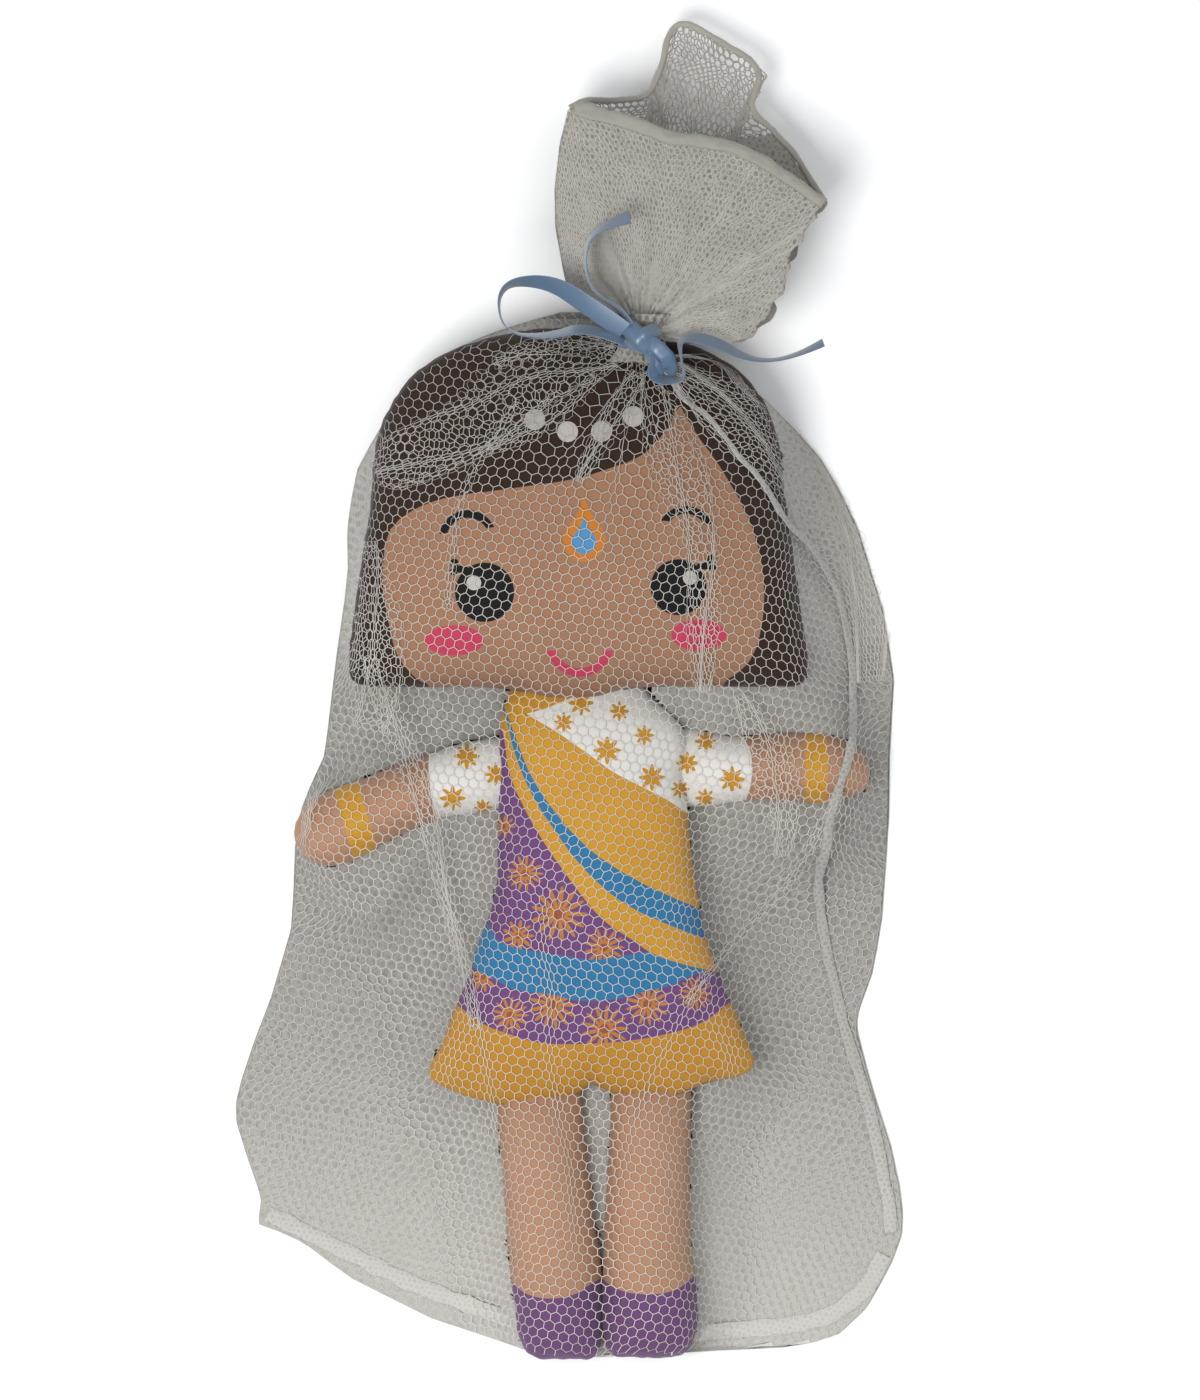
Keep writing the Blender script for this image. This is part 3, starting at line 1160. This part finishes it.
def crowded(points, squeeze):
    """One strip of net along points of x, y and half width, in millimetres."""
    runs = lengths_along(points)
    half_flat = squeeze * max(point[2] for point in points)
    bm = hexagon_sheet((-half_flat, 0), (half_flat, runs[-1]))
    flat = corners_of(bm)
    along = flat[:, 1]

    def centre(run):
        run = np.clip(run, 0, runs[-1])
        return [np.interp(run, runs, [point[axis] for point in points]) for axis in (0, 1)]

    x, y = (sum(centre(along + step)[axis] for step in (-8, -4, 0, 4, 8)) / 5 for axis in (0, 1))
    ahead, behind = centre(along + 6), centre(along - 6)
    slant = np.arctan2(ahead[1] - behind[1], ahead[0] - behind[0])
    half = np.interp(along, runs, [point[2] for point in points])
    across = flat[:, 0] / half_flat
    across = (across + 0.16 * np.sin(4.4 * across + along / 9)) * half
    x, y = x - across * np.sin(slant), y + across * np.cos(slant)
    outside = (x < left_edge(y) + 0.4) | (x > right_edge(y) - 0.4)
    ridge = 0.5 + 0.5 * np.cos(across * 2.2 + along / 15)
    place_corners(bm, np.stack([x, y, height_at(x, y) + 0.35 + 0.5 * ridge], axis=1))
    drop_outside(bm, outside)
    drop_faces(bm, lambda face: face.calc_area() < 0.12)
    open_holes(bm, 0.12)
    return bm


folds = bmesh.new()
for points, squeeze in FOLDS:
    strip = crowded(points, squeeze)
    held = bpy.data.meshes.new("strip")
    strip.to_mesh(held)
    strip.free()
    folds.from_mesh(held)
    bpy.data.meshes.remove(held)
to_metres(folds)
net_folds = finish_mesh(folds, "net_folds", net_thread, smooth=False)
print("fold faces:", len(net_folds.data.polygons))

# %% [markdown]
# ## Back net
# Behind the doll the bag lies in several layers, so it reads as a pale, nearly closed
# cloth. It is one grid stretched to the outline of the bag, with a fine cell pattern.

# %% Dense net material


def lattice(d, pitch, lean, wander):
    """A wavy field that is high in the holes of a hexagonal net and low on its threads."""
    wave = 4 * math.pi / (math.sqrt(3) * pitch)
    x = d.math("MULTIPLY_ADD", d.noise(0.10, 3.0), wander, d.x)
    y = d.math("MULTIPLY_ADD", d.noise(0.14, 3.0), wander, d.y)
    total = 0.0
    for third in range(3):
        angle = math.radians(lean + 120 * third)
        along = d.math("MULTIPLY_ADD", x, wave * math.cos(angle),
                       d.math("MULTIPLY", y, wave * math.sin(angle)))
        total = d.math("ADD", d.math("COSINE", along), total)
    return total


def dense_net(name, light, dark, pitch=3.0, lean=20.0, low_light=1.0, high_light=1.1):
    d = Drawing(name, 0.8, 0.2)
    first = lattice(d, pitch, lean, pitch * 1.6)
    second = lattice(d, pitch * 0.93, lean + 23, pitch * 3)
    both = d.math("MINIMUM", d.math("MULTIPLY_ADD", first, 1.1, 0.75),
                  d.math("MULTIPLY_ADD", second, 1.6, 2.0))
    holes = d.math("MINIMUM", d.math("MAXIMUM", both, 0.0), 1.0)
    holes = d.math("MULTIPLY", holes, d.math("MULTIPLY_ADD", d.noise(0.06, 3.0), 1.1, 0.35))
    holes = d.math("MINIMUM", holes, 1.0)
    if low_light != 1.0:
        holes = d.math("MULTIPLY", holes, d.edge(d.y,
                                                 [(-205, 0.45), (-165, 0.6), (-120, 1.0),
                                                  (-20, 1.0), (20, 0.9), (120, 0.95)]))
    colour = d.paint(dark, holes, light)
    if low_light != 1.0:
        colour = d.lit(colour, [(-205, low_light), (-150, 0.42 + low_light / 2), (-60, 0.8),
                                (0, 0.83),
                                (24, high_light - 0.02), (120, high_light)])
    d.cloth(colour, weave=0.35, depth=0.25, fade=0.16)
    return d.material


back_cloth = dense_net("layered net", screen(168, 166, 160), screen(148, 146, 140), low_light=1.3)
seam_cloth = dense_net("seam net", screen(184, 182, 176), screen(158, 156, 149), pitch=1.7,
                       low_light=1.2, high_light=0.84)


def outline_sheet(name, low, high, height, across, along):
    """A grid stretched between the bag's two edges."""
    bm = bmesh.new()
    bmesh.ops.create_grid(bm, x_segments=across, y_segments=along, size=0.5)
    for corner in bm.verts:
        y = low + (corner.co.y + 0.5) * (high - low)
        left, right = float(left_edge(y)), float(right_edge(y))
        x = left + (corner.co.x + 0.5) * (right - left)
        ripple = 0.25 * noise.noise(Vector((x / 9, y / 9, 7.0)))
        corner.co = Vector((x, y, height + ripple))
    to_metres(bm)
    return finish_mesh(bm, name, back_cloth)


back_upper = outline_sheet("net_back_upper", SPLIT_Y, 114.0, 0.5, 60, 70)
back_lower = outline_sheet("net_back_lower", -201.8, SPLIT_Y, 0.5, 60, 60)

# %% [markdown]
# The bag is wider than the doll, so loose net lies beside the head, arms and legs, and
# catches light that would be lost in a dark gap. One added layer stands for it: a grid that
# follows the net at part of its height, cut away wherever the doll itself lies. It does not
# follow the arms, so an arm that swings leaves its hole in this layer bare.

# %% Loose layers beside the doll
doll_here = doll_top > 0


def covered(x, y):
    i = int(np.clip(round((x - grid_x[0]) / STEP), 0, len(grid_x) - 1))
    j = int(np.clip(round((y - grid_y[0]) / STEP), 0, len(grid_y) - 1))
    return bool(doll_here[j, i])


def loose_layer(name, low, high, along):
    bm = bmesh.new()
    bmesh.ops.create_grid(bm, x_segments=130, y_segments=along, size=0.5)
    hidden = set()
    for corner in bm.verts:
        y = low + (corner.co.y + 0.5) * (high - low)
        left, right = float(left_edge(y)) + 0.6, float(right_edge(y)) - 0.6
        x = left + (corner.co.x + 0.5) * (right - left)
        upper = min(1.0, max(0.0, (y + 20) / 16))
        share = 0.5 + upper * (0.32 if x > 20 and y < 92 else -0.22)
        wave = share + 0.12 * noise.noise(Vector((x / 14, y / 30, 2.0)))
        z = max(1.0, wave * float(height_at(x, y)))
        if covered(x, y):
            hidden.add(corner)
        corner.co = Vector((x, y, z))
    buried = [corner for corner in hidden
              if all(edge.other_vert(corner) in hidden for edge in corner.link_edges)]
    bmesh.ops.delete(bm, geom=buried, context="VERTS")
    to_metres(bm)
    return finish_mesh(bm, name, back_cloth)


loose_upper = loose_layer("net_loose_upper", SPLIT_Y, 112.0, 130)
loose_lower = loose_layer("net_loose_lower", -200.0, SPLIT_Y, 110)

# %% [markdown]
# ## Seams and hems
# The bag is sewn down its right side and along its foot, and both seams show as a raised
# narrow band. Every band is a thin grid bent along a line, higher in the middle.

# %% Raised bands
SIDE_SEAM = [
    (26, 98), (29.6, 94), (34, 86.6), (41, 82), (46.7, 75.5), (51, 69), (56, 64.7), (60.5, 58),
    (65, 50), (72, 44.6),
    (76.7, 37.7), (81.5, 29.3), (84.5, 14.9), (85.7, 5), (85.7, -9), (84.8, -18.8), (81.5, -28.4),
    (79, -35.6),
    (76.7, -50), (75, -59.6), (76.7, -71.6), (78.5, -81.2), (80.9, -92), (82.6, -99), (84.4, -106),
    (87, -114), (90, -123.5), (93, -135.5), (95, -147.5), (97.2, -157), (97.4, -165),
]
FOOT_SEAM = [
    (-92, -158), (-84, -161.5), (-74, -166.5), (-64, -171.5), (-54, -176.5), (-42, -181.5),
    (-30, -186),
    (-16, -190.5), (-4, -193), (12, -194.5), (30, -194.5), (50, -193.5), (68, -192), (80, -189),
    (90, -181), (96, -170),
]


def band(name, points, width, thick, material, over, seed, roughness=0.35, low=-999.0, high=999.0):
    """A rounded strip along a line, between two end widths; over gives its height."""
    runs = lengths_along(points)
    total = runs[-1]

    def at(place):
        place = min(max(place, 0.0), total)
        return [float(np.interp(place, runs, [p[axis] for p in points])) for axis in (0, 1)]

    bm = bmesh.new()
    bmesh.ops.create_grid(bm, x_segments=int(total / 1.1), y_segments=6, size=0.5)
    for corner in bm.verts:
        run = (corner.co.x + 0.5) * total
        across = corner.co.y * 2
        here, ahead, behind = at(run), at(run + 3), at(run - 3)
        slant = math.atan2(ahead[1] - behind[1], ahead[0] - behind[0])
        wander = 0.5 * noise.noise(Vector((run / 9, seed, 0.0)))
        wide = (width[0] + (width[1] - width[0]) * run / total) / 2
        wide *= 1 + 0.25 * noise.noise(Vector((run / 5, seed, 3.0)))
        x = (here[0] + ahead[0] + behind[0]) / 3 - (across * wide + wander) * math.sin(slant)
        y = (here[1] + ahead[1] + behind[1]) / 3 + (across * wide + wander) * math.cos(slant)
        rise = thick * (1 - across ** 4) + roughness * noise.noise(Vector((x / 1.4, y / 1.4,
                                                            seed)))
        corner.co = Vector((x, y, over(x, y) + rise))
    drop_faces(bm, lambda face: not low <= face.calc_center_median().y < high)
    to_metres(bm)
    return finish_mesh(bm, name, material)


def on_net(x, y):
    return float(height_at(x, y)) + 0.15


def on_back(x, y):
    return max(1.3, min(0.64 * float(height_at(x, y)) + 0.4, 6.0))


seam_upper = band("side_seam_upper", SIDE_SEAM, (1.3, 3.9), 0.4, seam_cloth, on_net, 1.0,
                  low=SPLIT_Y)
seam_lower = band("side_seam_lower", SIDE_SEAM, (1.3, 3.9), 0.4, seam_cloth, on_net, 1.0,
                  high=SPLIT_Y)
foot_seam = band("foot_seam", FOOT_SEAM, (4.6, 5.0), 0.45, seam_cloth, on_back, 3.0)

# %% [markdown]
# ## Mouth of the bag
# Past the tie the net spreads out again into a frill: a front leaf with a folded hem and
# a taller leaf behind it. A dense inner leaf carries the tone, and hexagons over it give
# the broken surface.

# %% The frill
FRILL_FRONT = [
    (30, 103.5), (46.7, 102.8), (54, 105), (60.5, 112), (64.4, 122), (68, 131), (71, 138.5),
    (77.2, 144.6),
    (70, 149.6), (62, 155), (54.5, 159.5), (46.7, 162.5), (39.2, 164), (31.4, 164), (22, 168),
    (11, 171.4),
    (0.8, 174), (-2.3, 164), (-3.9, 152), (-3.8, 142), (-2.3, 130), (-0.5, 122), (3.0, 115.0),
]
FRILL_REAR = [
    (34, 103.2), (52.7, 103.9), (59.6, 110.6), (61.4, 113.6), (64.4, 123.5), (67.4, 131),
    (70.4, 139), (77, 143.5),
    (76.8, 146.6), (72.8, 152.6), (68, 161), (60.5, 169), (55, 173), (54.8, 179), (58.7, 184.7),
    (54.5, 190),
    (49, 193), (39.2, 199), (33.2, 201.4), (30.5, 198.5), (28.4, 189), (24, 177.8), (10.7, 176.8),
    (3, 177),
    (-0.2, 174), (-2.6, 164), (-4.2, 150), (-3.9, 138), (-0.9, 122), (2.0, 115.5),
]
FRILL_ROOT = (TIE[0], 106.0)
# each leaf: height at the tie, how fast it falls away, and a seed for its folds
FRONT_LEAF = (41.0, 0.14, 1.0)
REAR_LEAF = (37.0, 0.28, 4.0)
frill_cloth = dense_net("frill net", screen(158, 154, 146), screen(124, 120, 111), pitch=2.1)


def fan(outline, u, v):
    """Places on a leaf: u runs along its outline from 0 to 1, v from the tie outwards."""
    lengths = lengths_along(outline)
    edge_x = np.interp(u * lengths[-1], lengths, [p[0] for p in outline])
    edge_y = np.interp(u * lengths[-1], lengths, [p[1] for p in outline])
    ragged = 0.9 * np.sin(u * 71) + 0.6 * np.sin(u * 167 + 1.0) + 0.3 * np.sin(u * 311)
    edge_x = edge_x + ragged * np.clip((edge_x - 40) / 20, 0, 1)
    out = 0.05 + 0.95 * v
    return FRILL_ROOT[0] + (edge_x - FRILL_ROOT[0]) * out, FRILL_ROOT[1] + (edge_y
                                                            - FRILL_ROOT[1]) * out


def frill_height(x, y, rise, droop, seed):
    """Height of a leaf: it falls away from the tie, with soft folds near it."""
    far = math.hypot(x - FRILL_ROOT[0], y - FRILL_ROOT[1])
    angle = math.atan2(x - FRILL_ROOT[0], y - FRILL_ROOT[1])
    drift = noise.noise(Vector((x / 26, y / 26, seed)))
    folds = math.sin(13 * angle + 5 * drift + seed) + 0.6 * math.sin(29 * angle + 7 * drift)
    swell = 0.5 * folds * math.exp(-((far / 42) ** 2)) * min(1.0, far / 8)
    rough = 0.9 * noise.noise(Vector((x / 9, y / 9, seed))) + 0.35 * noise.noise(Vector((x / 2.4,
                                                            y / 2.4, seed)))
    return rise - droop * far + swell + rough


def frill_sheet(name, outline, rise, droop, seed, low=0.0):
    bm = bmesh.new()
    bmesh.ops.create_grid(bm, x_segments=150, y_segments=50, size=0.5)
    for corner in bm.verts:
        x, y = fan(outline, corner.co.x + 0.5, corner.co.y + 0.5)
        corner.co = Vector((x, y, frill_height(x, y, rise, droop, seed)))
    if low:
        drop_faces(bm, lambda face: face.calc_center_median().y > low)
    to_metres(bm)
    return finish_mesh(bm, name, frill_cloth)


def frill_net(name, outline, rise, droop, seed, cells, rows, turn, thread=0.14):
    """Crowded hexagons over a leaf of the frill."""
    wide, high = cells * PITCH, rows * CELL * 1.5
    bm = hexagon_sheet((0, 0), (wide, high))
    flat = corners_of(bm)
    u = np.clip(flat[:, 0] / wide + turn * (flat[:, 1] / high - 0.5), 0, 1)
    v = np.clip(flat[:, 1] / high, 0, 1)
    for corner, a, b in zip(bm.verts, u, v):
        x, y = fan(outline, a, b ** 0.8)
        x += 1.3 * noise.noise(Vector((x / 5, y / 5, seed + 9))) * min(1.0, 3 - 3 * b)
        y += 1.3 * noise.noise(Vector((x / 5, y / 5, seed + 19))) * min(1.0, 3 - 3 * b)
        corner.co = Vector((x, y, frill_height(x, y, rise, droop, seed) + 0.3))
    drop_faces(bm, lambda face: face.calc_area() < 0.12)
    open_holes(bm, thread)
    to_metres(bm)
    return finish_mesh(bm, name, frill_thread if thread < 0.15 else hem_thread, smooth=False)


frill_thread = thread_material("frill thread", screen(200, 196, 187), 0.3)
frill_front = frill_sheet("frill_front", FRILL_FRONT, *FRONT_LEAF)
frill_front_net = frill_net("frill_front_net", FRILL_FRONT, *FRONT_LEAF, 120, 26, 0.04)
frill_rear = frill_sheet("frill_rear", FRILL_REAR, *REAR_LEAF, low=166.0)
frill_rear_net = frill_net("frill_rear_net", FRILL_REAR, *REAR_LEAF, 120, 36, 0.0, 0.24)
frill_back_net = frill_net("frill_back_net", FRILL_REAR, 36.0, 0.29, 8.0, 110, 33, 0.05, 0.2)


def on_front_leaf(x, y):
    return frill_height(x, y, *FRONT_LEAF) + 0.2


def on_rear_leaf(x, y):
    return frill_height(x, y, *REAR_LEAF) + 0.4


front_hem = band("front_hem", FRILL_FRONT[7:17], (3.2, 4.6), 0.6, hem_thread, on_front_leaf, 5.0,
                 0.7)
rear_hem = band("rear_hem", FRILL_REAR[8:25], (1.6, 1.6), 0.6, hem_thread, on_rear_leaf, 6.0, 0.4)
for leaf in (frill_front, frill_rear, front_hem, rear_hem):
    thick = leaf.modifiers.new("net thickness", "SOLIDIFY")
    thick.thickness = 0.35 * MM
    thick.offset = 0.0

# %% [markdown]
# ## The knot
# The ribbon's knot is a rounded lump with three turns of ribbon laid over it, and below
# it the small loop hangs from the same turns. The net inside is drawn into a pleated neck.

# %% Knot and neck


def strap(bm, points, width, belly):
    """A short turn of ribbon through points of x, y, z, bulging across its width."""
    strip = bmesh.ops.create_grid(bm, x_segments=18, y_segments=6, size=0.5)["verts"]
    count = len(points) - 1

    def at(place):
        return [float(np.interp(place, range(count + 1), [p[axis] for p in points]))
                for axis in (0, 1, 2)]

    for corner in strip:
        place = (corner.co.x + 0.5) * count
        here, ahead, behind = at(place), at(place + 0.3), at(place - 0.3)
        slant = math.atan2(ahead[1] - behind[1], ahead[0] - behind[0])
        across = corner.co.y * 2
        side = across * width / 2
        corner.co = Vector((here[0] - side * math.sin(slant), here[1] + side * math.cos(slant),
                            here[2] - belly * across ** 2))


KNOT = (21.4, 103.8, 45.0)
KNOT_HALF = (5.2, 3.6, 3.6)
# each turn of ribbon: its points, its width and how far it bulges
STRAPS = [
    ([(15.6, 109.6, 43.5), (18, 107.4, 47.8), (21.5, 104.2, 49.4), (25, 101.0, 47.6),
      (27, 98.8, 43.5)], 5.6, 1.0),
    ([(17.4, 101.6, 42.5), (19.5, 103.0, 48.4), (22.6, 105.2, 50.0), (25.6, 106.6, 47.4),
      (27.0, 107.4, 42.5)], 4.4, 1.1),
    ([(23.4, 103.6, 47.6), (26.6, 101.4, 48.6), (29.4, 98.6, 48.0), (30.6, 95.4, 46.0),
      (29.2, 94.0, 44.0)], 4.6, 0.6),
    ([(22.6, 101.4, 46.4), (24.8, 98.8, 47.6), (26.6, 96.0, 47.0), (28.6, 94.2, 45.0)], 3.0, 0.5),
]
knot_bm = bmesh.new()
bmesh.ops.create_uvsphere(knot_bm, u_segments=32, v_segments=16, radius=1.0)
for corner in knot_bm.verts:
    corner.co = Vector([KNOT[axis] + KNOT_HALF[axis] * corner.co[axis] for axis in range(3)])
bmesh.ops.rotate(knot_bm, cent=KNOT, matrix=Matrix.Rotation(math.radians(-38), 3, "Z"),
                 verts=knot_bm.verts)
for points, width, belly in STRAPS:
    strap(knot_bm, points, width, belly)
to_metres(knot_bm)
knot = finish_mesh(knot_bm, "ribbon_knot_folds", ribbon_satin)
knot_body = knot.modifiers.new("ribbon thickness", "SOLIDIFY")
knot_body.thickness = 0.25 * MM

ring_bm = bmesh.new()
bmesh.ops.create_cone(ring_bm, cap_ends=False, segments=96, radius1=1.0, radius2=1.0, depth=1.0)
bmesh.ops.subdivide_edges(ring_bm, edges=[e for e in ring_bm.edges
                                          if abs(e.verts[0].co.z - e.verts[1].co.z) > 0.5],
                          cuts=9)
for corner in ring_bm.verts:
    angle = math.atan2(corner.co.y, corner.co.x)
    along = corner.co.z + 0.5
    pinch = 4.4 + 2.6 * (2 * along - 1) ** 2
    radius = pinch + 0.5 * math.sin(17 * angle + 3 * along) + 0.3 * math.sin(31 * angle)
    corner.co = Vector((TIE[0] + 1.25 * radius * math.cos(angle), 97.5 + 14.0 * along,
                        38.6 + 0.95 * radius * math.sin(angle)))
to_metres(ring_bm)
neck = finish_mesh(ring_bm, "net_neck_pleats", frill_cloth)
wrap_bm = bmesh.new()
bmesh.ops.create_cone(wrap_bm, cap_ends=False, segments=64, radius1=1.0, radius2=1.0, depth=1.0)
for corner in wrap_bm.verts:
    angle = math.atan2(corner.co.y, corner.co.x)
    along = corner.co.z + 0.5
    corner.co = Vector((TIE[0] + 5.9 * math.cos(angle), 101.6 + 5.4 * along,
                        39.0 + 5.0 * math.sin(angle)))
to_metres(wrap_bm)
wrap = finish_mesh(wrap_bm, "ribbon_wrap", ribbon_satin)
wrap_body = wrap.modifiers.new("ribbon thickness", "SOLIDIFY")
wrap_body.thickness = 0.4 * MM
for piece, node, slot in ((knot, "ribbon_knot", "ribbon"), (wrap, "ribbon_band", "ribbon"),
                          (neck, "net_bunch", "net")):
    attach(piece, "tie")
    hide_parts(node)

# %% Areas of the sheets


def area_of(piece):
    """Area of a sheet's mesh, in square metres."""
    return sum(face.area for face in piece.data.polygons)


for sheet in (net_upper, net_lower, back_upper, back_lower, loose_upper, loose_lower, frill_front,
              frill_rear,
              frill_rear_net, frill_back_net, net_folds):
    print("area of %s: %.5f square metres" % (sheet.name, area_of(sheet)))

# %% Every piece to its body
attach(head, "head")
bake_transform(torso)
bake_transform(left_arm)
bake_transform(right_arm)
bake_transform(left_leg)
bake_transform(right_leg)
for upper in (net_upper, back_upper, net_folds, seam_upper, loose_upper):
    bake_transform(upper)
for low_piece in (net_lower, back_lower, seam_lower, foot_seam, loose_lower):
    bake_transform(low_piece)
for piece in (net_upper, net_lower, net_folds, loose_upper, loose_lower):
    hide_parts("net_front")
for piece in (back_upper, back_lower):
    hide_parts("net_back")
for piece in (seam_upper, seam_lower):
    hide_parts("side_seam")
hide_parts("bottom_seam")
for piece in (frill_front, frill_front_net, frill_rear, frill_rear_net, frill_back_net, front_hem,
              rear_hem):
    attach(piece, "tie")
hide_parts("mouth_front")
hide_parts("mouth_front")
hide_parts("mouth_rear")
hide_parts("mouth_rear")
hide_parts("mouth_rear")
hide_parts("mouth_front_hem")
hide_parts("mouth_rear_hem")

# %% [markdown]
# Each leaf of the bag is a sheet that was cut flat before it was sewn, but its cut size
# isn't known. The width and length given here are the extents of the leaf's outline, and
# the area is the area of the mesh made above, as the cell before this one prints it. So
# the two agree because one was copied from the other, not because the cloth was measured.
# The open net over the doll, its folds and its seams go with the loose layer, and the
# front leaf's rows describe only the part beside the doll.

# %% Sizes
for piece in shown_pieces():
    if piece.type == "MESH" and len(piece.data.vertices):
        lows = min(corner.co.z for corner in piece.data.vertices)
        if lows < 0:
            print("below the table:", piece.name, round(lows * 1000, 2), "mm")
